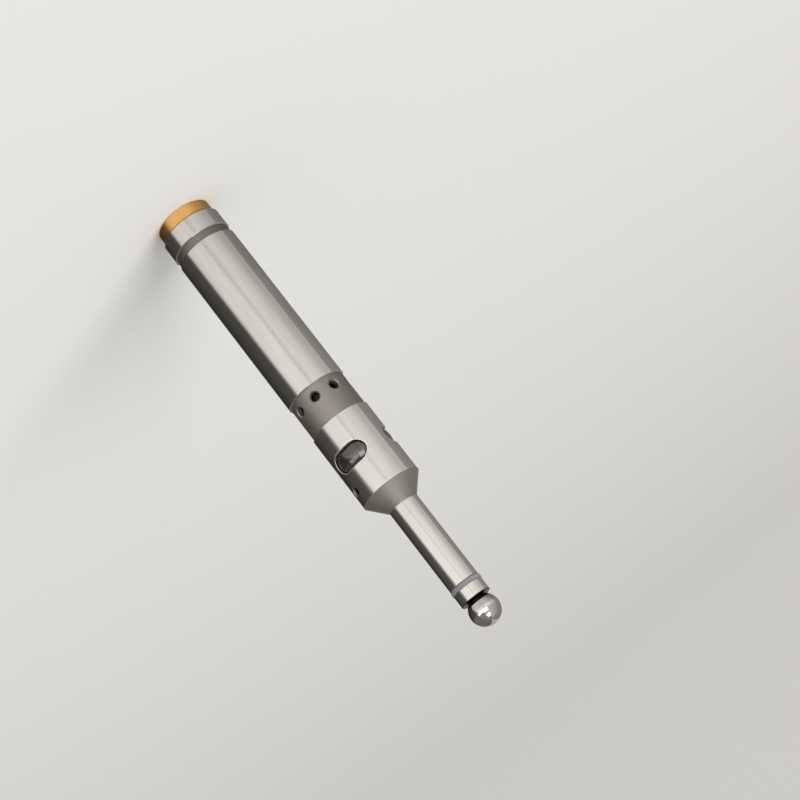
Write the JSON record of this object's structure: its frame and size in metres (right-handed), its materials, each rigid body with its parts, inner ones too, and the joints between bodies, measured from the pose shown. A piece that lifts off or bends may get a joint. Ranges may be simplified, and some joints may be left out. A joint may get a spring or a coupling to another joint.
{
  "type": "edge finder",
  "caption": "Electronic edge finder: straight ground shank with a brass battery cap, windowed lamp housing, slim stem and a spring-held contact ball.",
  "frame": {"origin": "centre of the battery cap's flat end, on the axis", "axes": "+Z along the axis from the battery cap to the contact ball; -Y faces the middle of the first window"},
  "size_m": [0.02, 0.02, 0.16],
  "materials": {
    "ground_steel": "fine ground, hardened steel",
    "ball_steel": "polished hardened ball",
    "collar_steel": "fine ground, hardened steel",
    "cap_brass": "turned brass, satin",
    "contact_brass": "turned brass",
    "screw_steel": "blackened steel",
    "spring_wire": "drawn spring wire",
    "plated_steel": "bright plated",
    "insulator": "grey turned plastic, satin",
    "liner_plastic": "natural white plastic",
    "sleeve_plastic": "thin insulating tube",
    "black_plastic": "black moulded plastic",
    "smoked_lens": "dark tinted clear plastic, glossy",
    "board": "green fibreglass board",
    "battery_jacket": "printed metal jacket without any print",
    "resistor_body": "lacquered ceramic",
    "capacitor_sleeve": "shrunk plastic sleeve",
    "wire_sleeve": "red insulated wire",
    "lamp_resin": "red tinted epoxy"
  },
  "bodies": {
    "housing": {"battery": "battery_jacket", "battery_sleeve": "sleeve_plastic", "contact_carrier": "black_plastic", "battery_contact": "contact_brass", "driver_board": "board", "transistor": "black_plastic", "capacitor": "capacitor_sleeve", "resistor_1": "resistor_body", "resistor_2": "resistor_body", "resistor_3": "resistor_body", "buzzer": "black_plastic", "buzzer_mount": "black_plastic", "lead_wires": "wire_sleeve", "shank_body": "ground_steel", "front_body": "ground_steel", "set_screw": "screw_steel", "lamp_board": "board", "lamp_holder": "black_plastic", "lamp_1": "lamp_resin", "lamp_2": "lamp_resin", "lamp_3": "lamp_resin", "window_lens_1": "smoked_lens", "window_lens_2": "smoked_lens", "window_lens_3": "smoked_lens", "anchor_bush": "insulator", "spring_anchor": "contact_brass", "anchor_nut": "plated_steel", "stem_liner": "liner_plastic", "tip_bush": "insulator", "tip_collar": "collar_steel", "return_spring": "spring_wire"},
    "cap_carriage": {"battery_spring": "spring_wire"},
    "cap": {"battery_cap": "cap_brass"},
    "ball": {"contact_ball": "ball_steel", "ball_stud": "plated_steel"}
  },
  "joints": [
    {"name": "cap_travel", "type": "slide", "parent": "housing", "child": "cap_carriage", "axis": [0, 0, -1], "range_m": [0, 0.006], "deforming": ["battery_spring"]},
    {"name": "cap_turn", "type": "hinge", "parent": "cap_carriage", "child": "cap", "pos_m": [0, 0, 0.0021], "axis": [0, 0, -1], "range_deg": [0, 2160]},
    {"name": "ball_pull", "type": "slide", "parent": "housing", "child": "ball", "axis": [0, 0, 1], "range_m": [0, 0.003], "stiffness_N_per_m": 300, "springref_m": -0.006, "deforming": ["return_spring"]}
  ],
  "couplings": [
    {"joint": "cap_travel", "follows": "cap_turn", "m_per_rad": 0.00015915}
  ]
}
